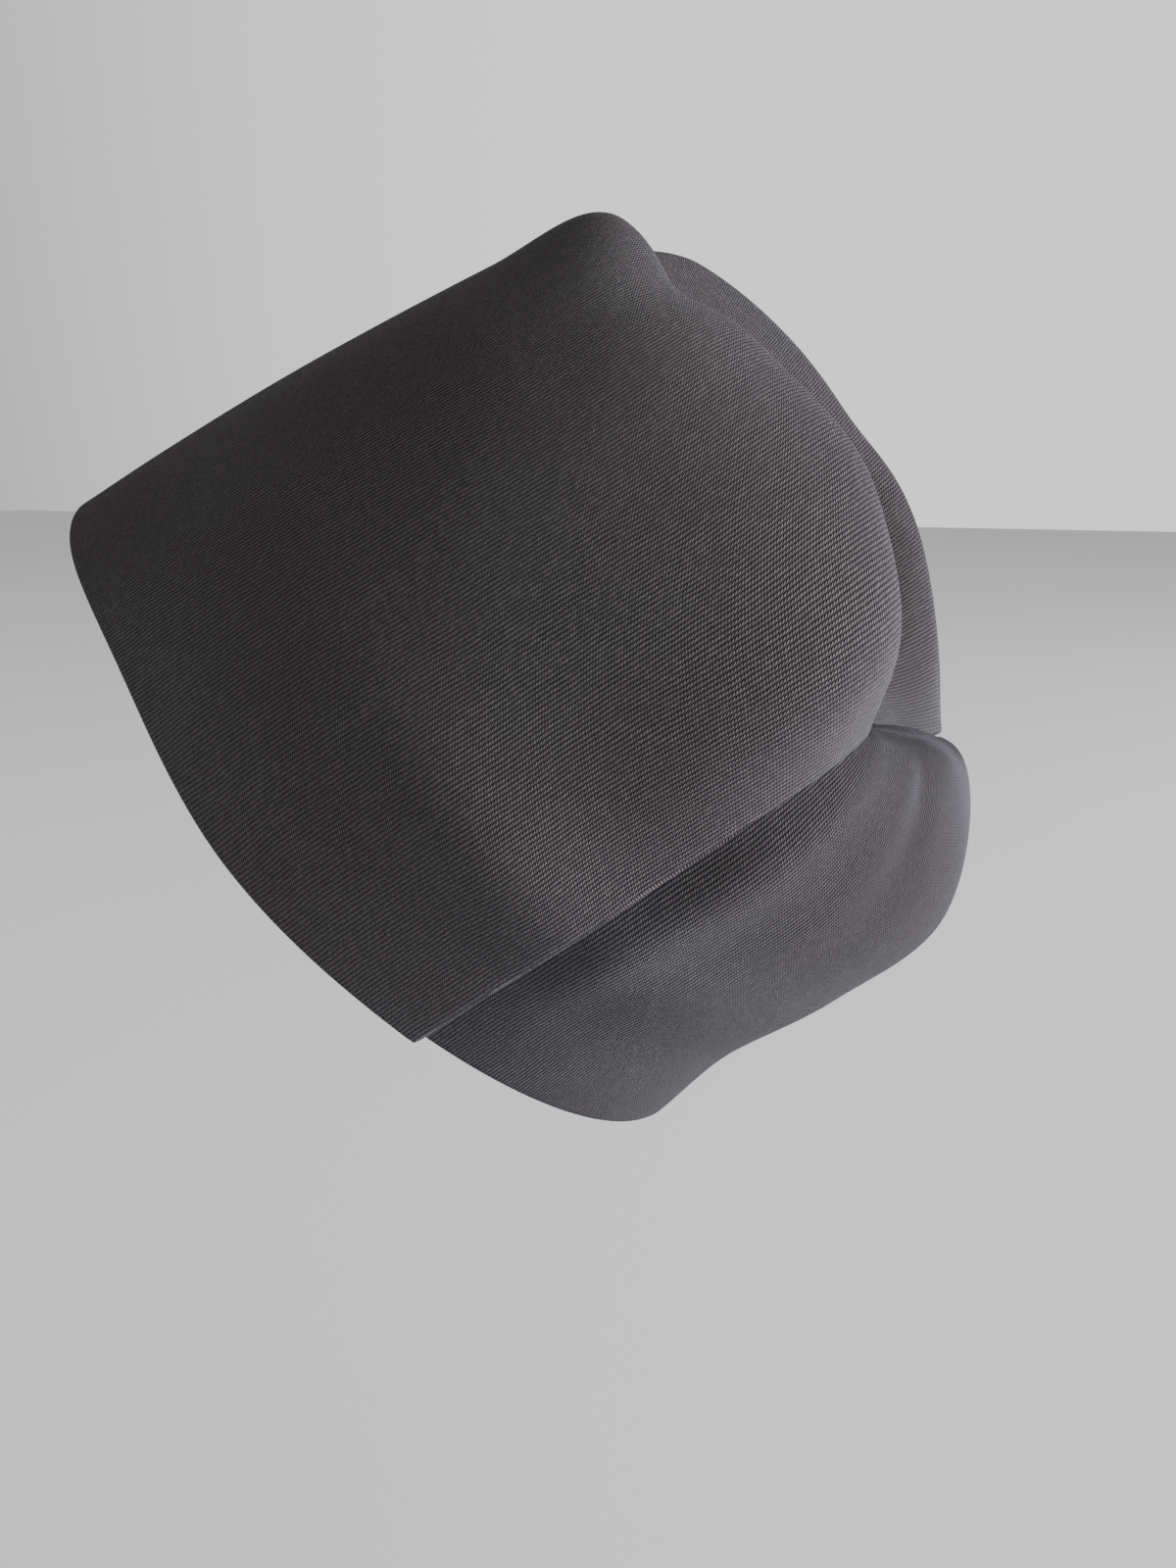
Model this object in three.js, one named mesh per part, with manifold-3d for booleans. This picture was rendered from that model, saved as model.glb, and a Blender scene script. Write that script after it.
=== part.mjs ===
// A soft lined cap of thick jersey with a three-lobed, lapped crown. Millimetres.
// The cap is shaped standing on its hem: +X is the wearer's left, -Y the forehead, +Y the nape and +Z runs
// from the hem to the closed end. The whole is then leant back, as it sits on a head.
import * as THREE from 'three';
import { mergeVertices } from 'three/addons/utils/BufferGeometryUtils.js';
import Module from 'manifold-3d';

// Driving sizes
const WALL = 2.4;               // face cloth and lining together
const HEM_LEAN = 45;            // degrees that the hem's plane leans back from level
const LAP_ANGLE = 118;          // degrees from the forehead round to the lap, seen along the axis
const LAP_GAP = 0.5;            // clearance between the crown's lap and the cloth under it
const LAP_CLEAR = 0.42;         // least room left between the two cloths where a lobe rests on the nape
const ROOM_REACH = 1.0035;      // how far round that room goes, in the crown's half rounds
const TUCK = 0.13;              // share of the crown's half round that covers the tucked cloth
const TUCK_FULL = 0.68;         // rise up to which the tuck is full
const TIP_RISE = 0.9;           // rise from which the nape panel's tip has no tuck and keeps its width

// Panel grids. The nape panel stops one step short of the seam, and shares the crown's other steps.
const CROWN_ROUND_STEPS = 44;
const NAPE_ROUND_STEPS = 24;
const RISE_STEPS = 32;
const NAPE_STEPS = RISE_STEPS - 1;

// One row for each station from the hem to the seam that closes the end.
// half_width is the widest reach to the side, and bow how round (1) or square (0) the way there is.
// front, left_lap, right_lap and nape are reaches from the axis: towards the forehead at the centre front and
// at both laps, and towards the back at the centre back. Each rise is a height above the hem's plane.
const COLUMNS = [
  'name', 'half_width', 'bow', 'front', 'front_rise', 'temple_rise',
  'left_side_rise', 'left_ear_rise', 'left_lap_rise', 'left_lap',
  'right_side_rise', 'right_ear_rise', 'right_lap_rise', 'right_lap',
  'nape_rise', 'nape',
];
const STATIONS = [
  ['hem', 72, 1, 123, 3, 7, 11, 3, 4, -56, 11, 3, 4, -56, 9, 117.5],
  ['brow', 79, 0.95, 110, 38, 40, 42, 38, 36, -59, 42, 38, 36, -60, 38, 116],
  ['side', 82, 0.9, 92, 84, 84, 83, 79, 73, -63, 83, 79, 74, -67, 74, 121],
  ['shoulder', 75, 0.8, 69, 135, 137, 135, 134, 106, -68, 136, 129, 103, -79, 106, 121],
  ['ridge', 46, 0.55, 59, 154, 165, 167, 175, 131, -71, 168, 161, 128.5, -90, 132.5, 97.5],
  ['valley', 17, 0.55, 46, 144, 145, 140, 142, 126, -68, 141, 138, 125, -81, 132.5, 84],
  ['seam', 0, 1, 34, 127, 130, 120, 119, 121, -66, 120, 119, 121, -66, 100, 50],
].map((row) => Object.fromEntries(COLUMNS.map((column, index) => [column, row[index]])));

// The crown's soft swells and hollows, pushed out (+) or in (-).
// round, rise: the middle of each, in shares of the panel. wide, tall: how far it spreads in those shares.
const FOLDS = [
  { name: 'left ridge dent', round: 0.44, rise: 0.68, wide: 0.045, tall: 0.08, push: -2.5 },
  { name: 'left ridge swell', round: 0.54, rise: 0.67, wide: 0.05, tall: 0.09, push: 2 },
  { name: 'left ridge flat', round: 0.71, rise: 0.65, wide: 0.1, tall: 0.12, push: -10 },
  { name: 'left corner swell', round: 0.93, rise: 0.65, wide: 0.06, tall: 0.1, push: 7 },
  { name: 'left corner tuck', round: 1, rise: 0.62, wide: 0.06, tall: 0.11, push: -4 },
  { name: 'left face swell', round: 0.75, rise: 0.59, wide: 0.22, tall: 0.06, push: 7.5 },
  { name: 'left ear bend', round: 0.87, rise: 0.28, wide: 0.12, tall: 0.055, push: 7 },
  { name: 'right lobe dent', round: -0.615, rise: 0.68, wide: 0.05, tall: 0.08, push: -2 },
  { name: 'right valley hollow', round: -0.75, rise: 0.81, wide: 0.1, tall: 0.06, push: -21 },
  { name: 'right corner tuck', round: -1, rise: 0.73, wide: 0.04, tall: 0.07, push: -2 },
];

const radians = THREE.MathUtils.degToRad;
const LAP_COS = Math.cos(radians(LAP_ANGLE));
const LAP_SIN = Math.sin(radians(LAP_ANGLE));

// The crown's height at one station: its rises from the right lap over the front to the left lap, run on
// straight past both laps.
function crownRise(station, round) {
  const rises = [
    2 * station.right_lap_rise - station.right_ear_rise,
    station.right_lap_rise,
    station.right_ear_rise,
    station.right_side_rise,
    station.temple_rise,
    station.front_rise,
    station.temple_rise,
    station.left_side_rise,
    station.left_ear_rise,
    station.left_lap_rise,
    2 * station.left_lap_rise - station.left_ear_rise,
  ];
  const line = new THREE.SplineCurve(rises.map((rise, index) => new THREE.Vector2(index, rise)));
  return line.getPoint(0.5 + 0.4 * round).y;
}

// The crown's point at one station: round = 0 at the centre front, 1 at the left lap, -1 at the right lap.
function crownAtStation(station, round) {
  const lap = round < 0 ? station.right_lap : station.left_lap;
  const angle = radians(LAP_ANGLE * Math.abs(round));
  const centre = (lap - LAP_COS * station.front) / (1 - LAP_COS);
  const reach = station.front - centre;
  return new THREE.Vector3(
    Math.sign(round) * station.half_width * Math.sin(angle) ** station.bow,
    -(centre + reach * Math.cos(angle)),
    crownRise(station, round),
  );
}

// The crown's outer face without its folds: rise = 0 at the hem and 1 at the seam.
function crownForm(rise, round) {
  const profile = STATIONS.map((station) => crownAtStation(station, round));
  return new THREE.CatmullRomCurve3(profile).getPoint(rise);
}

// A surface's outward unit normal, from its slopes both ways.
function normalAt(surface, rise, round) {
  const step = 1e-3;
  const level = THREE.MathUtils.clamp(rise, 0.01, 0.99);
  const up = surface(level + step, round).sub(surface(level - step, round));
  const across = surface(level, round + step).sub(surface(level, round - step));
  return across.cross(up).normalize();
}

// Each fold pushes one way: along the crown's normal at the fold's middle.
const foldWays = FOLDS.map((fold) => normalAt(crownForm, fold.rise, fold.round));

// The crown's outer face with its folds, which die out at the hem and the seam.
function crownPoint(rise, round) {
  const point = crownForm(rise, round);
  const fade = Math.sin(Math.PI * rise);
  FOLDS.forEach((fold, index) => {
    const across = (round - fold.round) / fold.wide;
    const up = (rise - fold.rise) / fold.tall;
    const push = fold.push * fade * Math.exp(-(across * across + up * up) / 2);
    point.addScaledVector(foldWays[index], push);
  });
  return point;
}

// The face of cloth that lies under the crown, one wall and a small gap inside it.
function underCrown(rise, round) {
  const inset = -(WALL + LAP_GAP);
  return crownPoint(rise, round).addScaledVector(normalAt(crownPoint, rise, round), inset);
}

// The centre-back line of the nape panel.
function napeCentre(rise) {
  const line = STATIONS.map((station) => new THREE.Vector3(0, station.nape, station.nape_rise));
  return new THREE.CatmullRomCurve3(line).getPoint(rise);
}

// The nape panel's outer face: round = 0 at the centre back, -1 at the left lap and 1 at the right lap, and
// beyond those it lies under the crown. Its tip runs on along the centre-back line.
function napePoint(rise, round) {
  const side = -Math.sign(round);
  const share = Math.abs(round);
  const level = Math.min(rise, TIP_RISE);
  const tip = napeCentre(rise).sub(napeCentre(level));
  if (share > 1) {
    return underCrown(level, side * (2 - share)).add(tip);
  }
  const lap = underCrown(level, side);
  const angle = Math.PI - share * (Math.PI - radians(LAP_ANGLE));
  const towardsBack = (LAP_COS - Math.cos(angle)) / (1 + LAP_COS);
  const point = lap.clone().lerp(napeCentre(level), towardsBack);
  point.x = (lap.x * Math.sin(angle)) / LAP_SIN;
  return point.add(tip);
}

// How far round the nape panel reaches: past the laps by the tuck, which runs out towards the narrow tip.
function napeReach(rise) {
  return 1 + TUCK * (1 - THREE.MathUtils.smoothstep(rise, TUCK_FULL, TIP_RISE));
}

// A wall of cloth: a flat slab whose every point is carried to the surface and its thickness.
// reach gives how far round the cloth goes at each rise, and grown adds the same clearance to both faces.
function clothWall(surface, reach, roundSteps, riseSteps, grown = 0) {
  const slab = new THREE.BoxGeometry(2, 1, 1, roundSteps, riseSteps, 1);
  const places = slab.getAttribute('position');
  for (let i = 0; i < places.count; i += 1) {
    const rise = ((places.getY(i) + 0.5) * riseSteps) / RISE_STEPS;
    const round = places.getX(i) * reach(rise);
    const depth = (0.5 - places.getZ(i)) * (WALL + 2 * grown) - grown;
    const point = surface(rise, round).addScaledVector(normalAt(surface, rise, round), -depth);
    places.setXYZ(i, point.x, point.y, point.z);
  }
  slab.deleteAttribute('normal');
  slab.deleteAttribute('uv');
  return slab;
}

// Sews the crown's far edge to itself, left half to right half: the slab's end face there gives way to a
// bridge between the two inner edges.
function sewFarEdge(slab) {
  const [, , end] = slab.groups;
  const faces = Array.from(slab.getIndex().array);
  faces.splice(end.start, end.count);
  const inner = 4 * (RISE_STEPS + 1);
  const last = CROWN_ROUND_STEPS;
  for (let i = 0; i < last / 2; i += 1) {
    const right = inner + i;
    const left = inner + last - i;
    faces.push(right, left, left - 1);
    if (right + 1 < left - 1) {
      faces.push(right, left - 1, right + 1);
    }
  }
  faces.push(inner + last, inner, inner + last + 1);
  slab.setIndex(faces);
  return slab;
}

const kernel = await Module();
kernel.setup();

function toSolid(slab) {
  const geometry = mergeVertices(slab);
  const vertProperties = Float32Array.from(geometry.getAttribute('position').array);
  const triVerts = Uint32Array.from(geometry.getIndex().array);
  return new kernel.Manifold(new kernel.Mesh({ numProp: 3, vertProperties, triVerts }));
}

// The geometry of a solid's largest body.
function toGeometry(solid) {
  const bodies = solid.decompose().sort((a, b) => b.volume() - a.volume());
  const mesh = bodies[0].getMesh();
  const geometry = new THREE.BufferGeometry();
  geometry.setAttribute('position', new THREE.BufferAttribute(mesh.vertProperties, 3));
  geometry.setIndex(new THREE.BufferAttribute(mesh.triVerts, 1));
  geometry.computeVertexNormals();
  return geometry;
}

const jersey = (colour) => new THREE.MeshStandardMaterial({ color: colour, roughness: 0.95, metalness: 0 });

const crownCloth = clothWall(crownPoint, () => 1, CROWN_ROUND_STEPS, RISE_STEPS);
const crown = new THREE.Mesh(toGeometry(toSolid(sewFarEdge(crownCloth))), jersey(0x2b292b));
crown.name = 'crown';

// The nape panel is trimmed clear of the lobes that rest on it.
const crownRoom = clothWall(crownPoint, () => ROOM_REACH, CROWN_ROUND_STEPS, RISE_STEPS, LAP_CLEAR);
const napeCloth = clothWall(napePoint, napeReach, NAPE_ROUND_STEPS, NAPE_STEPS);
const napePanel = new THREE.Mesh(
  toGeometry(toSolid(napeCloth).subtract(toSolid(crownRoom))),
  jersey(0x302e31),
);
napePanel.name = 'nape_panel';

const cap = new THREE.Group();
cap.add(crown, napePanel);
cap.rotation.x = -radians(HEM_LEAN);

const worn = new THREE.Group();
worn.add(cap);

export default worn;
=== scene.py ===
"""A soft lined cap of thick ribbed jersey, draped as it is worn, with a plain studio stage."""

import math

import bmesh
import bpy
import numpy as np
from bpy.props import (
    FloatProperty,
    FloatVectorProperty,
    IntProperty,
    PointerProperty,
)
from bpy.types import Operator, Panel, PropertyGroup
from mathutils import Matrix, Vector
from mathutils.bvhtree import BVHTree


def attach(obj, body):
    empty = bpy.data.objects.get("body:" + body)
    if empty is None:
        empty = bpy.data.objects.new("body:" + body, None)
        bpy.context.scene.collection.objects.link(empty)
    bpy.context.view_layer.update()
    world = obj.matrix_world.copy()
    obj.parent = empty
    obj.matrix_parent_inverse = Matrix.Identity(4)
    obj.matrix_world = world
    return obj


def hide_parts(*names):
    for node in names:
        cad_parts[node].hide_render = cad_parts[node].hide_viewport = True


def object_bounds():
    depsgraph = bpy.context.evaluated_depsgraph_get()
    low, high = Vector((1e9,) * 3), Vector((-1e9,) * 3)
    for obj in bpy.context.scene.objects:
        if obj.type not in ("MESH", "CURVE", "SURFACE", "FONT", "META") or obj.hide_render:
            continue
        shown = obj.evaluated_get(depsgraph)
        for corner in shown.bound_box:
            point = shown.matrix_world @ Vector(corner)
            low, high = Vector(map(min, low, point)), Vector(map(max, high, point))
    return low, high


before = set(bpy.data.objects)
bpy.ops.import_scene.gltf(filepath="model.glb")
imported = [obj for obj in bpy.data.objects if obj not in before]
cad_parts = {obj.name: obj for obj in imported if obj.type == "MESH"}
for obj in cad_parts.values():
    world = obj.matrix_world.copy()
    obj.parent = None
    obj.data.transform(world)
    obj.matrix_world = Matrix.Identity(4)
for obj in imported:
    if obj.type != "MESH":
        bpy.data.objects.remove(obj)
CAD_LOW, CAD_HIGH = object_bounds()

bl_info = {
    "name": "Lined Jersey Cap",
    "version": (1, 0, 0),
    "blender": (4, 5, 0),
    "location": "View3D > Sidebar > Cap",
    "description": "Drapes the cloth of a lapped, lobed jersey cap and sets a studio stage for it",
    "category": "Object",
}

# The cap's form, in millimetres above the hem's plane: one row for each station from the hem to the seam.
# half_width is the widest reach to the side, and bow how round (1) or square (0) the way there is.
# front, the laps and nape are reaches from the axis, and each rise is a height.
COLUMNS = (
    "half_width", "bow", "front", "front_rise", "temple_rise",
    "left_side_rise", "left_ear_rise", "left_lap_rise", "left_lap",
    "right_side_rise", "right_ear_rise", "right_lap_rise", "right_lap",
    "nape_rise", "nape",
)
STATIONS = {
    "hem": (72, 1, 123, 3, 7, 11, 3, 4, -56, 11, 3, 4, -56, 9, 117.5),
    "brow": (79, 0.95, 110, 38, 40, 42, 38, 36, -59, 42, 38, 36, -60, 38, 116),
    "side": (82, 0.9, 92, 84, 84, 83, 79, 73, -63, 83, 79, 74, -67, 74, 121),
    "shoulder": (75, 0.8, 69, 135, 137, 135, 134, 106, -68, 136, 129, 103, -79, 106, 121),
    "ridge": (46, 0.55, 59, 154, 165, 167, 175, 131, -71, 168, 161, 128.5, -90, 132.5, 97.5),
    "valley": (17, 0.55, 46, 144, 145, 140, 142, 126, -68, 141, 138, 125, -81, 132.5, 84),
    "seam": (0, 1, 34, 127, 130, 120, 119, 121, -66, 120, 119, 121, -66, 100, 50),
}
FORM = {name: np.array([row[i] for row in STATIONS.values()], float) for i, name in enumerate(COLUMNS)}

# Soft swells (+) and hollows (-): the middle round and up, the spread round and up, the push in mm.
CROWN_FOLDS = {
    "left ridge dent": (0.44, 0.68, 0.045, 0.08, -2.5),
    "left ridge swell": (0.54, 0.67, 0.05, 0.09, 2.0),
    "left ridge flat": (0.71, 0.65, 0.1, 0.12, -10.0),
    "left corner swell": (0.93, 0.65, 0.06, 0.1, 7.0),
    "left corner tuck": (1.0, 0.62, 0.06, 0.11, -4.0),
    "left face swell": (0.75, 0.59, 0.22, 0.06, 7.5),
    "left ear bend": (0.87, 0.28, 0.12, 0.055, 7.0),
    "left cheek hollow": (0.78, 0.4, 0.1, 0.06, -1.5),
    "right lobe dent": (-0.615, 0.68, 0.05, 0.08, -2.0),
    "right valley hollow": (-0.75, 0.81, 0.1, 0.06, -21.0),
    "right corner tuck": (-1.0, 0.73, 0.04, 0.07, -2.0),
}
NAPE_FOLDS = {
    "left roll low": (-0.9, 0.3, 0.05, 0.14, 2.4),
    "left roll high": (-0.87, 0.5, 0.06, 0.12, 3.0),
    "left lap hollow": (-0.99, 0.4, 0.04, 0.25, -0.5),
    "left end crease": (-0.55, 0.6, 0.05, 0.12, -1.6),
    "right roll": (0.87, 0.4, 0.07, 0.2, 1.8),
}

MM = 1000  # millimetres in a metre
LAP_ANGLE = math.radians(118)  # round the crown, from the centre front to each lap
HEM_LEAN = math.radians(45)  # how far the hem's plane leans back when the cap is worn
TUCK_FULL = 0.68  # up to this rise the nape panel is tucked under the laps in full
TIP_RISE = 0.9  # at this rise the tuck has run out and the nape panel's tip starts
NAPE_RISE = 0.945  # the rise where the nape panel's tip ends
CENTRE_ROW = 5  # place of the centre front in the crown's list of rises round a station
LAP_ROWS = 4  # rows of that list from the centre front to each lap
SLOPE_STEP = 1e-3  # step to each side over which a surface's slope is read
SLOPE_EDGE = 0.01  # a slope is read at least this far from the hem and from the seam
LEAST_LENGTH = 1e-9  # keeps a division by a length from being one by zero
LEAST_SQUARE = 1e-12  # the same for a squared distance
PRESS_SPREAD = 3  # grid steps over which a press is widened, and then eased
SEW_REACH = 1e-5  # metres between two stitches that become one

# The jersey's looks. A noise is its scale, per millimetre of cloth, and its detail.
WIDE_SWAY = (0.04, 2)
WIDE_SWAY_PUSH = 1.6  # millimetres that a rib wanders slowly
FINE_SWAY = (0.5, 2)
FINE_SWAY_PUSH = 0.25  # millimetres that a rib wanders from stitch to stitch
RIB_SQUARENESS = 2.2
DASH_ROUNDNESS = 0.6
DASH_SHARE = 0.55  # how much of a rib's height dips between two stitches
LIVELY_POWER = 3  # the higher, the fewer stitches are much brighter than the rest
LIVELY_SHARE = 0.55
LIVELY_LEAST = 0.62
FLECK = (1.6, 3)
FLECK_SHARE = 0.5
PATCH = (0.014, 3)
PATCH_LIMITS = (0.36, 0.62)
PATCH_TINTS = ((0.86, 0.79, 0.8, 1), (1, 1, 1, 1))
LINT_TURN = math.radians(35)
LINT_STRETCH = (1, 0.35, 1)
LINT_SCALE = 0.075
LINT_SIZE = 0.018
LINT_CHANCE = 0.3
LINT_STRENGTH = 0.6
GAP_ROUGHNESS = 0.92
RIB_SMOOTHING = -0.15
SPECULAR = 0.12
NAP_ROUGHNESS = 0.4
NAP_TINT = (0.78, 0.78, 0.92, 1)

FLOOR_SQUARES = 8
FLOOR_ROUGHNESS = 0.9


def spline(values, place):
    """A uniform spline through the rows of values, read at each place (0 at the first row)."""
    last = len(values) - 1
    piece = np.clip(np.floor(place).astype(int), 0, last - 1)
    share = place - piece
    column = np.arange(len(place))
    p0, p1, p2, p3 = (values[np.clip(piece + k, 0, last), column] for k in (-1, 0, 1, 2))
    v0 = (p2 - p0) / 2
    v1 = (p3 - p1) / 2
    cubic = 2 * p1 - 2 * p2 + v0 + v1
    square = 3 * p2 - 3 * p1 - 2 * v0 - v1
    return ((cubic * share + square) * share + v0) * share + p1


def chain(points, rise):
    """A centripetal curve through the stations' points, read at each rise (0 at the hem, 1 at the seam)."""
    last = len(points) - 1
    place = np.clip(rise, 0, 1) * last
    piece = np.minimum(place.astype(int), last - 1)
    share = (place - piece)[:, None]
    ends = np.concatenate([2 * points[:1] - points[1:2], points, 2 * points[-1:] - points[-2:-1]])
    column = np.arange(points.shape[1])
    p0, p1, p2, p3 = (ends[piece + k, column] for k in range(4))
    # each span is the square root of a distance, so the fourth root of its square
    d0, d1, d2 = (
        np.maximum(np.sum((b - a) ** 2, axis=1), LEAST_SQUARE)[:, None] ** 0.25
        for a, b in ((p0, p1), (p1, p2), (p2, p3))
    )
    t1 = ((p1 - p0) / d0 - (p2 - p0) / (d0 + d1) + (p2 - p1) / d1) * d1
    t2 = ((p2 - p1) / d1 - (p3 - p1) / (d1 + d2) + (p3 - p2) / d2) * d1
    cubic = 2 * p1 - 2 * p2 + t1 + t2
    square = 3 * p2 - 3 * p1 - 2 * t1 - t2
    return ((cubic * share + square) * share + t1) * share + p1


def crown_form(rise, around):
    """The crown's smooth outer face: around is 0 at the centre front, 1 at the left lap, -1 at the right."""
    angle = LAP_ANGLE * np.abs(around)
    lap_cos = math.cos(LAP_ANGLE)
    rises = np.stack([
        2 * FORM["right_lap_rise"] - FORM["right_ear_rise"],
        FORM["right_lap_rise"],
        FORM["right_ear_rise"],
        FORM["right_side_rise"],
        FORM["temple_rise"],
        FORM["front_rise"],
        FORM["temple_rise"],
        FORM["left_side_rise"],
        FORM["left_ear_rise"],
        FORM["left_lap_rise"],
        2 * FORM["left_lap_rise"] - FORM["left_ear_rise"],
    ])
    points = np.empty((len(STATIONS), len(around), 3))
    for i in range(len(STATIONS)):
        lap = np.where(around < 0, FORM["right_lap"][i], FORM["left_lap"][i])
        front = FORM["front"][i]
        centre = (lap - lap_cos * front) / (1 - lap_cos)
        points[i, :, 0] = np.sign(around) * FORM["half_width"][i] * np.sin(angle) ** FORM["bow"][i]
        points[i, :, 1] = -(centre + (front - centre) * np.cos(angle))
        heights = np.repeat(rises[:, i:i + 1], len(around), axis=1)
        points[i, :, 2] = spline(heights, CENTRE_ROW + LAP_ROWS * around)
    return chain(points, rise)


def normals_of(surface, rise, around):
    """Outward unit normals of a surface, from its slopes both ways."""
    level = np.clip(rise, SLOPE_EDGE, 1 - SLOPE_EDGE)
    up = surface(level + SLOPE_STEP, around) - surface(level - SLOPE_STEP, around)
    across = surface(level, around + SLOPE_STEP) - surface(level, around - SLOPE_STEP)
    out = np.cross(across, up)
    return out / np.linalg.norm(out, axis=1)[:, None]


def folded(form, folds, rise, around):
    """A smooth face with its folds, each pushed one way, which die out at the hem and the far edge."""
    face = form(rise, around)
    fade = np.sin(math.pi * np.clip(rise, 0, 1))
    for middle, level, wide, tall, depth in folds.values():
        way = normals_of(form, np.array([level]), np.array([middle]))
        share = np.exp(-(((around - middle) / wide) ** 2 + ((rise - level) / tall) ** 2) / 2)
        face = face + way * (depth * fade * share)[:, None]
    return face


def crown_face(rise, around):
    """The crown's outer face with its soft folds."""
    return folded(crown_form, CROWN_FOLDS, rise, around)


def crown_reach(rise):
    """The crown goes from lap to lap at every rise."""
    return np.ones(len(rise))


def under_crown(rise, around):
    """The face of cloth that lies under the crown, one wall and a small gap inside it."""
    cloth = bpy.context.scene.cap_cloth
    inset = MM * (cloth.wall + cloth.lap_gap)
    return crown_face(rise, around) - normals_of(crown_face, rise, around) * inset


def nape_centre(rise):
    """The nape panel's centre-back line."""
    line = np.stack([np.zeros(len(STATIONS)), FORM["nape"], FORM["nape_rise"]], axis=1)
    return chain(np.repeat(line[:, None], len(rise), axis=1), rise)


def nape_form(rise, around):
    """The nape panel's smooth outer face.

    around is 0 at the centre back, -1 at the left lap and 1 at the right, and the cloth is tucked under
    the crown beyond them. The tip runs on along the centre-back line, under the crown's seam.
    """
    side = -np.sign(around)
    share = np.abs(around)
    level = np.minimum(rise, TIP_RISE)
    tucked = under_crown(level, np.where(share > 1, side * (2 - share), side))
    lap_cos = math.cos(LAP_ANGLE)
    angle = math.pi - np.minimum(share, 1) * (math.pi - LAP_ANGLE)
    towards_back = ((lap_cos - np.cos(angle)) / (1 + lap_cos))[:, None]
    centre = nape_centre(level)
    open_cloth = tucked + (centre - tucked) * towards_back
    open_cloth[:, 0] = tucked[:, 0] * np.sin(angle) / math.sin(LAP_ANGLE)
    return np.where((share > 1)[:, None], tucked, open_cloth) + nape_centre(rise) - centre


def nape_face(rise, around):
    """The nape panel's outer face with its soft folds."""
    return folded(nape_form, NAPE_FOLDS, rise, around)


def nape_reach(rise):
    """How far round the nape panel reaches: past the laps by the tuck, which runs out towards the tip."""
    share = np.clip((rise - TUCK_FULL) / (TIP_RISE - TUCK_FULL), 0, 1)
    return 1 + bpy.context.scene.cap_cloth.tuck * (1 - share * share * (3 - 2 * share))


def worn(points):
    """Points from millimetres on the hem's plane to metres in the part's frame, leant back as worn."""
    x, y, z = points.T
    cos, sin = math.cos(HEM_LEAN), math.sin(HEM_LEAN)
    return np.stack([x, y * cos + z * sin, z * cos - y * sin], axis=1) / MM


def cloth_slab(round_steps, rise_steps, roll_cuts):
    """A flat slab of cloth, two units wide and long and one thick, whose cut edges have room to roll."""
    thick = 1.0
    bm = bmesh.new()
    bmesh.ops.create_grid(bm, x_segments=round_steps, y_segments=rise_steps, size=1.0)
    bmesh.ops.solidify(bm, geom=bm.verts[:] + bm.edges[:] + bm.faces[:], thickness=thick)
    stands = [e for e in bm.edges if abs(e.verts[0].co.z - e.verts[1].co.z) > thick / 2]
    bmesh.ops.subdivide_edges(bm, edges=stands, cuts=roll_cuts, use_grid_fill=True)
    return bm


def slab_places(bm, round_steps, rise_steps):
    """Each vertex's row, column and depth (0 on the outer face, 1 on the inner one) in a flat slab."""
    bm.verts.index_update()
    flat = np.array([v.co[:] for v in bm.verts], float)
    column = np.rint((flat[:, 0] + 1) / 2 * round_steps).astype(int)
    row = np.rint((flat[:, 1] + 1) / 2 * rise_steps).astype(int)
    return row, column, flat[:, 2].max() - flat[:, 2]


def edge_ways(grid, row, column):
    """Unit ways out of the cloth for the vertices on its cut edges, and nought for the others."""
    across = np.gradient(grid, axis=1)
    up = np.gradient(grid, axis=0)
    across /= np.linalg.norm(across, axis=2)[:, :, None] + LEAST_LENGTH
    up /= np.linalg.norm(up, axis=2)[:, :, None] + LEAST_LENGTH
    rows, columns = grid.shape[:2]
    off_row = (row == rows - 1).astype(int) - (row == 0)
    off_column = (column == columns - 1).astype(int) - (column == 0)
    edge = up[row, column] * off_row[:, None] + across[row, column] * off_column[:, None]
    return edge / np.maximum(np.linalg.norm(edge, axis=1), LEAST_LENGTH)[:, None]


def knit_map(grid):
    """The knit's map over a grid, in millimetres: the way round from the centre and the climb from the hem.

    A rib keeps its share of the widest row all the way up, except where the cloth's own run from the
    centre is longer, and the map follows that.
    """
    run = np.linalg.norm(np.diff(grid, axis=1), axis=2)
    steps = run.shape[1]
    wale = (np.arange(steps + 1) / steps - 0.5) * run.sum(axis=1).max()
    reached = np.pad(np.cumsum(run, axis=1), ((0, 0), (1, 0)))
    reached -= reached[:, steps // 2, None]
    wale = np.sign(wale) * np.maximum(np.abs(wale), np.abs(reached))
    climb = np.linalg.norm(np.diff(grid, axis=0), axis=2)
    course = np.pad(np.cumsum(climb, axis=0), ((1, 0), (0, 0)))
    return np.stack([wale, course], axis=2)


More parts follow.
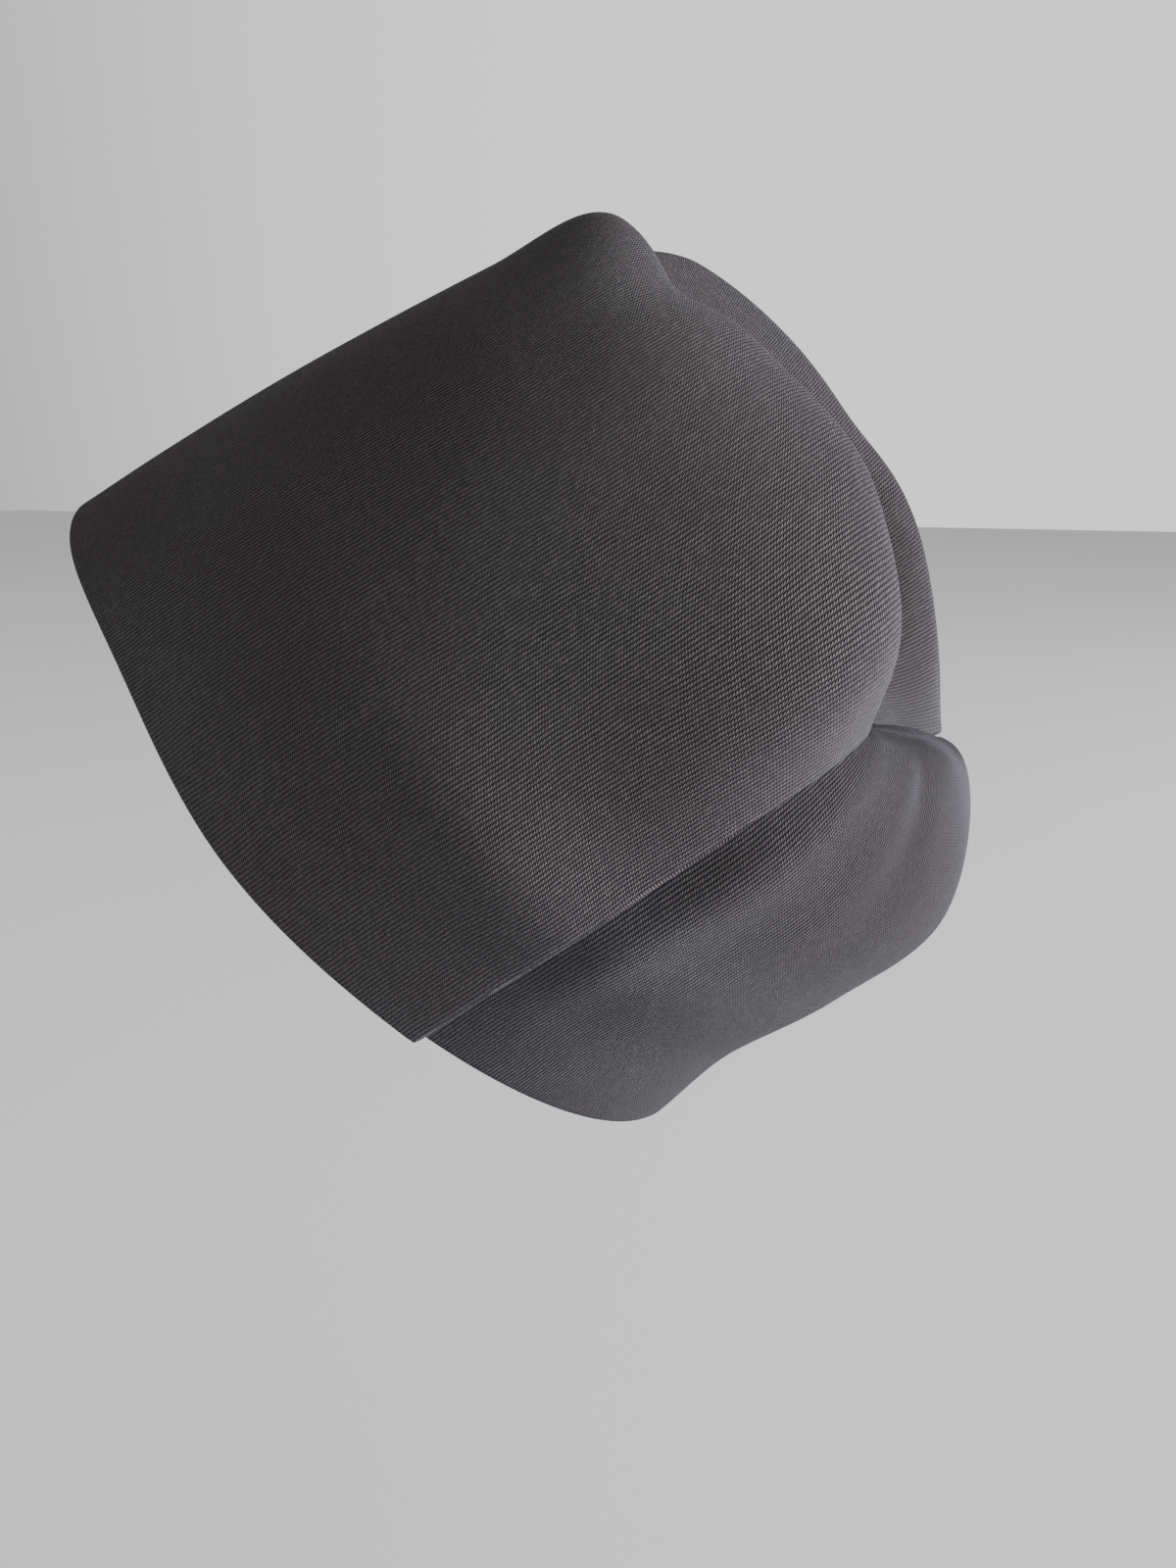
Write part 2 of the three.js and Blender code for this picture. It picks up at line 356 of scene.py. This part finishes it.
def drape(bm, surface, reach, rise_reach, round_steps, rise_steps, wall):
    """Carries a flat slab to a surface, rolls its cut edges and lays the knit's map on it."""
    row, column, depth = slab_places(bm, round_steps, rise_steps)
    columns, rows = np.meshgrid(np.arange(round_steps + 1), np.arange(rise_steps + 1))
    rise = (rows / rise_steps).ravel() * rise_reach
    around = ((columns / round_steps) * 2 - 1).ravel() * reach(rise)
    shape = (rise_steps + 1, round_steps + 1, 3)
    grid = surface(rise, around).reshape(shape)
    out = normals_of(surface, rise, around).reshape(shape)
    bulge = np.sin(math.pi * depth) * wall / 2
    sunk = (1 - np.cos(math.pi * depth)) * wall / 2
    places = grid[row, column] - out[row, column] * sunk[:, None]
    places += edge_ways(grid, row, column) * bulge[:, None]
    for vert, place in zip(bm.verts, worn(places)):
        vert.co = place
    knit = knit_map(grid)[row, column]
    layer = bm.loops.layers.uv.new("knit")
    for face in bm.faces:
        face.smooth = True
        for loop in face.loops:
            loop[layer].uv = knit[loop.vert.index]
    return row, column, depth


def spread(field, steps, blend):
    """Blends each place of a grid with its eight neighbours, over and over."""
    for _ in range(steps):
        edged = np.pad(field, 1, mode="edge")
        high, wide = field.shape
        field = blend([edged[i:i + high, j:j + wide] for i in range(3) for j in range(3)], axis=0)
    return field


def press_clear(bm, surface, reach, rise_reach, row, column, depth, over):
    """Presses a draped cloth in, whole wall and all, where the cloth over it would touch it."""
    cloth = bpy.context.scene.cap_cloth
    cover = bmesh.new()
    cover.from_mesh(over.data)
    tree = BVHTree.FromBMesh(cover)
    cover.free()
    rows, columns = row.max(), column.max()
    rise = row / rows * rise_reach
    around = (column / columns * 2 - 1) * reach(rise)
    inward = worn(-normals_of(surface, rise, around)) * MM
    bm.verts.ensure_lookup_table()
    press = np.zeros((rows + 1, columns + 1))
    for i in np.flatnonzero(depth == 0):
        way = Vector(inward[i])
        for step in range(cloth.press_steps):
            place = bm.verts[i].co + way * (step * cloth.press_step)
            spot, out, _, gap = tree.find_nearest(place)
            if gap > cloth.press_room and (place - spot).dot(out) > 0:
                break
        press[row[i], column[i]] = step * cloth.press_step
    press = spread(spread(press, PRESS_SPREAD, np.max), PRESS_SPREAD, np.mean)
    for i, vert in enumerate(bm.verts):
        vert.co += Vector(inward[i]) * press[row[i], column[i]]


def sew_far_edge(bm, far, column, depth, wall):
    """Sews the crown's far edge to itself, left half to right half, through the whole wall."""
    bm.verts.ensure_lookup_table()
    drop = Vector(worn(np.array([[0, 0, -wall]]))[0])
    line = {column[i]: bm.verts[i].co.copy() for i in np.flatnonzero(far & (depth == 0))}
    for i in np.flatnonzero(far):
        place = line[column[i]] + drop * depth[i]
        place.x = 0
        bm.verts[i].co = place
    stitched = [bm.verts[i] for i in np.flatnonzero(far)]
    for edge in bm.edges:
        if all(far[v.index] for v in edge.verts):
            edge.smooth = False
    ends = [f for f in bm.faces if all(far[v.index] for v in f.verts)]
    bmesh.ops.delete(bm, geom=ends, context="FACES")
    bmesh.ops.remove_doubles(bm, verts=[v for v in stitched if v.is_valid], dist=SEW_REACH)


class KnitNodes:
    """Makes and joins the nodes of one knitted material, which read the cloth's own knit map."""

    def __init__(self, material):
        """Starts from the material's plain shader."""
        material.use_nodes = True
        self.tree = material.node_tree
        self.shader = self.tree.nodes["Principled BSDF"]
        self.place = self.node("ShaderNodeUVMap", uv_map="knit").outputs[0]

    def node(self, kind, **settings):
        """A new node with its settings."""
        made = self.tree.nodes.new(kind)
        for key, value in settings.items():
            setattr(made, key, value)
        return made

    def feed(self, socket, value):
        """Gives a socket another node's output, a number or a colour."""
        if isinstance(value, bpy.types.NodeSocket):
            self.tree.links.new(value, socket)
        else:
            socket.default_value = value

    def maths(self, operation, *values):
        """The result of a sum on numbers and other nodes' outputs."""
        made = self.node("ShaderNodeMath", operation=operation)
        for socket, value in zip(made.inputs, values):
            self.feed(socket, value)
        return made.outputs[0]

    def noise(self, scale, detail):
        """Soft noise over the cloth."""
        made = self.node("ShaderNodeTexNoise")
        self.feed(made.inputs["Scale"], scale)
        self.feed(made.inputs["Detail"], detail)
        self.feed(made.inputs["Vector"], self.place)
        return made.outputs["Fac"]

    def blend(self, share, first, second, kind="MIX"):
        """Two colours blended. On this node the sockets for colours come after those for other kinds."""
        made = self.node("ShaderNodeMix", data_type="RGBA", blend_type=kind)
        for socket, value in zip((made.inputs[0], made.inputs[6], made.inputs[7]), (share, first, second)):
            self.feed(socket, value)
        return made.outputs[2]


def knit_stitches(knit, cloth):
    """The height of ribs of slanted stitches (0 in a gap, 1 on a rib), and a number for each stitch."""
    maths = knit.maths
    split = knit.node("ShaderNodeSeparateXYZ")
    knit.feed(split.inputs[0], knit.place)
    fine_sway = maths("MULTIPLY", knit.noise(*FINE_SWAY), FINE_SWAY_PUSH)
    sway = maths("MULTIPLY_ADD", knit.noise(*WIDE_SWAY), WIDE_SWAY_PUSH, fine_sway)
    wale = maths("DIVIDE", maths("ADD", split.outputs[0], sway), MM * cloth.wale_pitch)
    step = maths("ADD", wale, maths("DIVIDE", split.outputs[1], MM * cloth.stitch_length))
    stitch = maths("FRACT", step)
    leant = maths("MULTIPLY_ADD", maths("SUBTRACT", stitch, 0.5), cloth.stitch_slant, wale)
    off_rib = maths("ABSOLUTE", maths("MULTIPLY_ADD", maths("FRACT", leant), 2, -1))
    rib = maths("SUBTRACT", 1, maths("POWER", off_rib, RIB_SQUARENESS))
    dash = maths("POWER", maths("SINE", maths("MULTIPLY", stitch, math.pi)), DASH_ROUNDNESS)
    height = maths("MULTIPLY", rib, maths("MULTIPLY_ADD", dash, DASH_SHARE, 1 - DASH_SHARE))
    pair = knit.node("ShaderNodeCombineXYZ")
    knit.feed(pair.inputs[0], maths("FLOOR", wale))
    knit.feed(pair.inputs[1], maths("FLOOR", step))
    each = knit.node("ShaderNodeTexWhiteNoise", noise_dimensions="2D")
    knit.feed(each.inputs["Vector"], pair.outputs[0])
    return height, each.outputs["Value"]


def yarn_tone(knit, height, each, yarn, gap):
    """The colour of the stitches, each a little different, with painted shade in the gaps between the ribs
    and faint darker patches over the cloth.
    """
    maths = knit.maths
    lively = maths("MULTIPLY_ADD", maths("POWER", each, LIVELY_POWER), LIVELY_SHARE, LIVELY_LEAST)
    share = maths("MULTIPLY", height, maths("MULTIPLY_ADD", knit.noise(*FLECK), FLECK_SHARE, lively))
    # painted shade: the lower a stitch's height, the nearer its colour comes to the dark gap colour, as if
    # the ribs shaded the gaps
    tone = knit.blend(share, (*gap, 1), (*yarn, 1))
    patch = knit.node("ShaderNodeValToRGB")
    for element, limit, tint in zip(patch.color_ramp.elements, PATCH_LIMITS, PATCH_TINTS):
        element.position = limit
        element.color = tint
    knit.feed(patch.inputs[0], knit.noise(*PATCH))
    return knit.blend(1, tone, patch.outputs[0], "MULTIPLY")


def lint_specks(knit):
    """Where a few short specks of lint lie on the cloth, and how much each one shows."""
    maths = knit.maths
    fibre = knit.node("ShaderNodeMapping")
    fibre.inputs["Rotation"].default_value = (0, 0, LINT_TURN)
    fibre.inputs["Scale"].default_value = LINT_STRETCH
    knit.feed(fibre.inputs["Vector"], knit.place)
    lint = knit.node("ShaderNodeTexVoronoi", feature="F1")
    knit.feed(lint.inputs["Scale"], LINT_SCALE)
    knit.feed(lint.inputs["Vector"], fibre.outputs[0])
    pick = knit.node("ShaderNodeSeparateColor")
    knit.feed(pick.inputs[0], lint.outputs["Color"])
    near = maths("LESS_THAN", lint.outputs["Distance"], LINT_SIZE)
    some = maths("LESS_THAN", pick.outputs[0], LINT_CHANCE)
    strength = maths("MULTIPLY", pick.outputs[1], LINT_STRENGTH)
    return maths("MULTIPLY", maths("MULTIPLY", near, some), strength)


def jersey(name, yarn):
    """Ribbed jersey: ribs of slanted stitches up the cloth with painted shade in the gaps between them, a
    soft nap and a little lint.
    """
    cloth = bpy.context.scene.cap_cloth
    material = bpy.data.materials.new(name)
    knit = KnitNodes(material)
    height, each = knit_stitches(knit, cloth)
    tone = yarn_tone(knit, height, each, yarn, cloth.gap_shade_colour)
    sockets = knit.shader.inputs
    knit.feed(sockets["Base Color"], knit.blend(lint_specks(knit), tone, (*cloth.lint_colour, 1)))
    bump = knit.node("ShaderNodeBump")
    bump.inputs["Strength"].default_value = 1.0
    bump.inputs["Distance"].default_value = cloth.stitch_relief
    knit.feed(bump.inputs["Height"], height)
    knit.feed(sockets["Normal"], bump.outputs[0])
    knit.feed(sockets["Roughness"], knit.maths("MULTIPLY_ADD", height, RIB_SMOOTHING, GAP_ROUGHNESS))
    sockets["Specular IOR Level"].default_value = SPECULAR
    sockets["Sheen Weight"].default_value = cloth.nap
    sockets["Sheen Roughness"].default_value = NAP_ROUGHNESS
    sockets["Sheen Tint"].default_value = NAP_TINT
    return material


def finish_piece(name, bm, material, node_name):
    """Makes the object with its material, fixes it to the root and hides the imported part that it stands
    for.
    """
    if bm.calc_volume(signed=True) < 0:
        bmesh.ops.reverse_faces(bm, faces=bm.faces[:])
    mesh = bpy.data.meshes.new(name)
    bm.to_mesh(mesh)
    bm.free()
    mesh.materials.append(material)
    piece = bpy.data.objects.new(name, mesh)
    bpy.context.scene.collection.objects.link(piece)
    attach(piece, "root")
    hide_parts(node_name)


def add_floor(stage):
    """A plain floor under the cap."""
    bm = bmesh.new()
    bmesh.ops.create_grid(bm, x_segments=FLOOR_SQUARES, y_segments=FLOOR_SQUARES, size=stage.floor_size)
    bmesh.ops.translate(bm, verts=bm.verts[:], vec=(0, 0, CAD_LOW.z - stage.floor_drop))
    mesh = bpy.data.meshes.new("floor")
    bm.to_mesh(mesh)
    bm.free()
    paint = bpy.data.materials.new("floor_paint")
    paint.use_nodes = True
    shader = paint.node_tree.nodes["Principled BSDF"]
    shader.inputs["Base Color"].default_value = (*stage.floor_colour, 1)
    shader.inputs["Roughness"].default_value = FLOOR_ROUGHNESS
    mesh.materials.append(paint)
    floor = bpy.data.objects.new("floor", mesh)
    bpy.context.scene.collection.objects.link(floor)


def add_sky(stage):
    """Soft light from all round, brightest from the way of a pale wall."""
    world = bpy.data.worlds.new("studio")
    world.use_nodes = True
    tree = world.node_tree
    sky = tree.nodes["Background"]
    sky.inputs["Color"].default_value = (*stage.sky_colour, 1)
    way = tree.nodes.new("ShaderNodeTexCoord")
    towards = tree.nodes.new("ShaderNodeVectorMath")
    towards.operation = "DOT_PRODUCT"
    towards.inputs[1].default_value = stage.wall_way
    level = tree.nodes.new("ShaderNodeMapRange")
    level.interpolation_type = "SMOOTHSTEP"
    level.inputs["From Min"].default_value = stage.wall_edge[0]
    level.inputs["From Max"].default_value = stage.wall_edge[1]
    level.inputs["To Min"].default_value = stage.sky_dim
    level.inputs["To Max"].default_value = stage.sky_bright
    tree.links.new(way.outputs["Generated"], towards.inputs[0])
    tree.links.new(towards.outputs["Value"], level.inputs["Value"])
    tree.links.new(level.outputs[0], sky.inputs["Strength"])
    bpy.context.scene.world = world


def add_light(name, place, size, power, colour):
    """A soft square light at a place given from the cap's middle, turned to that middle."""
    lamp = bpy.data.lights.new(name, "AREA")
    lamp.shape = "SQUARE"
    lamp.size = size
    lamp.energy = power
    lamp.color = colour
    made = bpy.data.objects.new(name, lamp)
    middle = (CAD_LOW + CAD_HIGH) / 2
    made.location = middle + Vector(place)
    made.rotation_euler = (middle - made.location).to_track_quat("-Z", "Y").to_euler()
    bpy.context.scene.collection.objects.link(made)


def add_camera(stage):
    """The camera, turned by its heading and its pitch."""
    camera = bpy.data.objects.new("camera", bpy.data.cameras.new("camera"))
    camera.data.lens = stage.camera_lens
    camera.data.sensor_width = stage.camera_sensor
    camera.data.clip_start = stage.camera_near
    camera.location = stage.camera_place
    flat = math.cos(stage.camera_pitch)
    look = Vector((
        -flat * math.cos(stage.camera_heading),
        -flat * math.sin(stage.camera_heading),
        -math.sin(stage.camera_pitch),
    ))
    camera.rotation_euler = look.to_track_quat("-Z", "Y").to_euler()
    bpy.context.scene.collection.objects.link(camera)
    bpy.context.scene.camera = camera


class CapCloth(PropertyGroup):
    """Sizes and colours of the cap's cloth."""

    wall: FloatProperty(
        name="Wall", description="Thickness of the face cloth and the lining together",
        default=0.0024, min=0.001, max=0.004, unit="LENGTH")
    lap_gap: FloatProperty(
        name="Lap Gap", description="Room between the crown's lap and the cloth under it",
        default=0.0011, min=0.0003, max=0.003, unit="LENGTH")
    crown_cut: FloatVectorProperty(
        name="Crown Cut", description="Width and length of the crown's cloth, laid flat",
        default=(0.43, 0.25), size=2, unit="LENGTH")
    crown_cut_area: FloatProperty(
        name="Crown Area", description="Area of the crown's cloth, laid flat",
        default=0.0827, unit="AREA")
    nape_cut: FloatVectorProperty(
        name="Nape Cut", description="Width and length of the nape panel's cloth, laid flat",
        default=(0.25, 0.22), size=2, unit="LENGTH")
    nape_cut_area: FloatProperty(
        name="Nape Area", description="Area of the nape panel's cloth, laid flat",
        default=0.0364, unit="AREA")
    tuck: FloatProperty(
        name="Tuck", description="Share of the crown's half round that covers the nape panel's edges",
        default=0.13, min=0.02, max=0.3, subtype="FACTOR")
    press_room: FloatProperty(
        name="Press Room", description="Least room kept under the crown where it rests on the nape panel",
        default=0.0005, unit="LENGTH")
    press_step: FloatProperty(
        name="Press Step", description="How far the nape panel is pressed in at a time",
        default=0.0004, unit="LENGTH")
    press_steps: IntProperty(
        name="Press Steps", description="Most times the nape panel is pressed in", default=16)
    crown_round_steps: IntProperty(
        name="Crown Round Steps", description="Even number of steps round the crown", default=240)
    crown_rise_steps: IntProperty(
        name="Crown Rise Steps", description="Steps from the crown's hem to its seam", default=150)
    nape_round_steps: IntProperty(
        name="Nape Round Steps", description="Even number of steps across the nape panel", default=160)
    nape_rise_steps: IntProperty(
        name="Nape Rise Steps", description="Steps from the nape's hem to its tip", default=120)
    roll_cuts: IntProperty(
        name="Roll Cuts", description="Cuts across each rolled edge", default=4)
    wale_pitch: FloatProperty(
        name="Wale Pitch", description="Distance between two ribs of the knit",
        default=0.00095, min=0.0004, max=0.006, unit="LENGTH")
    stitch_length: FloatProperty(
        name="Stitch Length", description="Length of one stitch along a rib",
        default=0.00074, min=0.0004, max=0.006, unit="LENGTH")
    stitch_slant: FloatProperty(
        name="Stitch Slant", description="How far a stitch leans across its rib, in ribs",
        default=0.2, min=-1, max=1)
    stitch_relief: FloatProperty(
        name="Stitch Relief", description="Height of the ribs over the gaps between them",
        default=0.0008, min=0, max=0.002, unit="LENGTH")
    nap: FloatProperty(
        name="Nap", description="How much the fine hairs of the cloth catch grazing light",
        default=0.16, min=0, max=1, subtype="FACTOR")
    crown_yarn: FloatVectorProperty(
        name="Crown Yarn", description="Colour of the crown's stitches",
        default=(0.115, 0.102, 0.103), subtype="COLOR")
    nape_yarn: FloatVectorProperty(
        name="Nape Yarn", description="Colour of the nape panel's stitches",
        default=(0.105, 0.095, 0.099), subtype="COLOR")
    # Painted shade: the near-black colour laid in the gaps between the ribs, where the ribs' own shade falls
    # on the same yarn
    gap_shade_colour: FloatVectorProperty(
        name="Gap", description="Colour in the gaps between the ribs",
        default=(0.005, 0.0044, 0.0047), subtype="COLOR")
    lint_colour: FloatVectorProperty(
        name="Lint", description="Colour of the lint on the cloth",
        default=(0.35, 0.36, 0.38), subtype="COLOR")


class CapStage(PropertyGroup):
    """The studio round the cap."""

    floor_drop: FloatProperty(
        name="Floor Drop", description="How far the floor lies below the cap",
        default=0.16, unit="LENGTH")
    floor_size: FloatProperty(
        name="Floor Size", description="Half the floor's side", default=6.0, unit="LENGTH")
    floor_colour: FloatVectorProperty(
        name="Floor Colour", description="Colour of the plain floor",
        default=(0.74, 0.74, 0.75), subtype="COLOR")
    sky_colour: FloatVectorProperty(
        name="Sky Colour", description="Colour of the light from all round",
        default=(0.87, 0.86, 0.87), subtype="COLOR")
    sky_dim: FloatProperty(
        name="Room Light", description="Strength of the soft light from the camera's side", default=0.27)
    sky_bright: FloatProperty(
        name="Wall Light", description="Strength of the soft light from the pale wall behind", default=1.3)
    wall_way: FloatVectorProperty(
        name="Wall Way", description="Way from the cap to the pale wall",
        default=(-0.85, 0.5, 0.1), subtype="DIRECTION")
    wall_edge: FloatVectorProperty(
        name="Wall Edge", description="How near to the wall's way its light starts, and where it is full",
        default=(-0.15, 0.7), size=2)
    window_place: FloatVectorProperty(
        name="Window Place", description="Where the window light stands, from the cap's middle",
        default=(0.0, 3.0, 0.35), subtype="TRANSLATION")
    window_size: FloatProperty(
        name="Window Size", description="Side of the window light", default=1.4, unit="LENGTH")
    window_power: FloatProperty(
        name="Window Power", description="Power of the window light", default=290.0, unit="POWER")
    window_colour: FloatVectorProperty(
        name="Window Colour", description="Colour of the window light",
        default=(0.93, 0.96, 1.0), subtype="COLOR")
    fill_place: FloatVectorProperty(
        name="Fill Place", description="Where the fill light stands, from the cap's middle",
        default=(0.9, -1.8, 2.2), subtype="TRANSLATION")
    fill_size: FloatProperty(
        name="Fill Size", description="Side of the fill light", default=1.8, unit="LENGTH")
    fill_power: FloatProperty(
        name="Fill Power", description="Power of the fill light", default=20.0, unit="POWER")
    fill_colour: FloatVectorProperty(
        name="Fill Colour", description="Colour of the fill light",
        default=(1.0, 0.97, 0.94), subtype="COLOR")
    camera_place: FloatVectorProperty(
        name="Camera Place", description="Where the camera stands",
        default=(0.3035, 0.1749, 0.1005), subtype="TRANSLATION")
    camera_heading: FloatProperty(
        name="Camera Heading", description="Turn of the view from the cap's left towards its back",
        default=math.radians(20), subtype="ANGLE")
    camera_pitch: FloatProperty(
        name="Camera Pitch", description="How far the view looks down",
        default=math.radians(15), subtype="ANGLE")
    camera_lens: FloatProperty(
        name="Lens", description="Focal length in millimetres", default=28.125)
    camera_sensor: FloatProperty(
        name="Sensor", description="Width of the camera's sensor in millimetres", default=36.0)
    camera_near: FloatProperty(
        name="Near Limit", description="Nearest distance that the camera sees",
        default=0.01, unit="LENGTH")


class CAP_OT_crown(Operator):
    """Drape the crown: the large upper cloth with its left and right lobes, sewn along the valley"""

    bl_idname = "cap.crown"
    bl_label = "Crown"

    def execute(self, context):
        """Drapes the cloth, sews its far edge and gives it its jersey."""
        cloth = context.scene.cap_cloth
        wall = MM * cloth.wall
        round_steps, rise_steps = cloth.crown_round_steps, cloth.crown_rise_steps
        bm = cloth_slab(round_steps, rise_steps, cloth.roll_cuts)
        row, column, depth = drape(bm, crown_face, crown_reach, 1, round_steps, rise_steps, wall)
        sew_far_edge(bm, row == rise_steps, column, depth, wall)
        finish_piece(
            "crown_cloth", bm, jersey("crown_jersey", cloth.crown_yarn), "crown")
        return {"FINISHED"}


class CAP_OT_nape_panel(Operator):
    """Drape the nape panel: the lower back cloth, whose side edges go under the crown's laps"""

    bl_idname = "cap.nape_panel"
    bl_label = "Nape Panel"

    def execute(self, context):
        """Drapes the cloth, presses it clear of the crown, which has to be there, and gives it its jersey."""
        cloth = context.scene.cap_cloth
        wall = MM * cloth.wall
        round_steps, rise_steps = cloth.nape_round_steps, cloth.nape_rise_steps
        bm = cloth_slab(round_steps, rise_steps, cloth.roll_cuts)
        row, column, depth = drape(bm, nape_face, nape_reach, NAPE_RISE, round_steps, rise_steps, wall)
        over = bpy.data.objects["crown_cloth"]
        press_clear(bm, nape_face, nape_reach, NAPE_RISE, row, column, depth, over)
        finish_piece(
            "nape_cloth", bm, jersey("nape_jersey", cloth.nape_yarn), "nape_panel")
        return {"FINISHED"}


class CAP_OT_stage(Operator):
    """Set the plain floor, the soft lights and the camera"""

    bl_idname = "cap.stage"
    bl_label = "Stage"

    def execute(self, context):
        """Sets the stage piece by piece."""
        stage = context.scene.cap_stage
        add_floor(stage)
        add_sky(stage)
        add_light("window", stage.window_place, stage.window_size, stage.window_power, stage.window_colour)
        add_light("fill", stage.fill_place, stage.fill_size, stage.fill_power, stage.fill_colour)
        add_camera(stage)
        return {"FINISHED"}


class CAP_PT_panel(Panel):
    """The cap's pieces and settings"""

    bl_idname = "CAP_PT_panel"
    bl_label = "Lined Jersey Cap"
    bl_space_type = "VIEW_3D"
    bl_region_type = "UI"
    bl_category = "Cap"

    def draw(self, context):
        """Lists the stage and the pieces, and below them every setting."""
        column = self.layout.column(align=True)
        for operator in OPERATORS:
            column.operator(operator.bl_idname)
        for settings in (context.scene.cap_cloth, context.scene.cap_stage):
            box = self.layout.box()
            for name in settings.__annotations__:
                box.prop(settings, name)


OPERATORS = (CAP_OT_stage, CAP_OT_crown, CAP_OT_nape_panel)
CLASSES = (CapCloth, CapStage, *OPERATORS, CAP_PT_panel)


def register():
    """Adds the classes, and the settings to every scene."""
    for cls in CLASSES:
        bpy.utils.register_class(cls)
    bpy.types.Scene.cap_cloth = PointerProperty(type=CapCloth)
    bpy.types.Scene.cap_stage = PointerProperty(type=CapStage)


def unregister():
    """Takes the settings and the classes away again."""
    del bpy.types.Scene.cap_stage
    del bpy.types.Scene.cap_cloth
    for cls in reversed(CLASSES):
        bpy.utils.unregister_class(cls)


def main():
    """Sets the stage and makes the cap."""
    register()
    bpy.ops.cap.stage()
    bpy.ops.cap.crown()
    bpy.ops.cap.nape_panel()


if __name__ == "__main__":
    main()
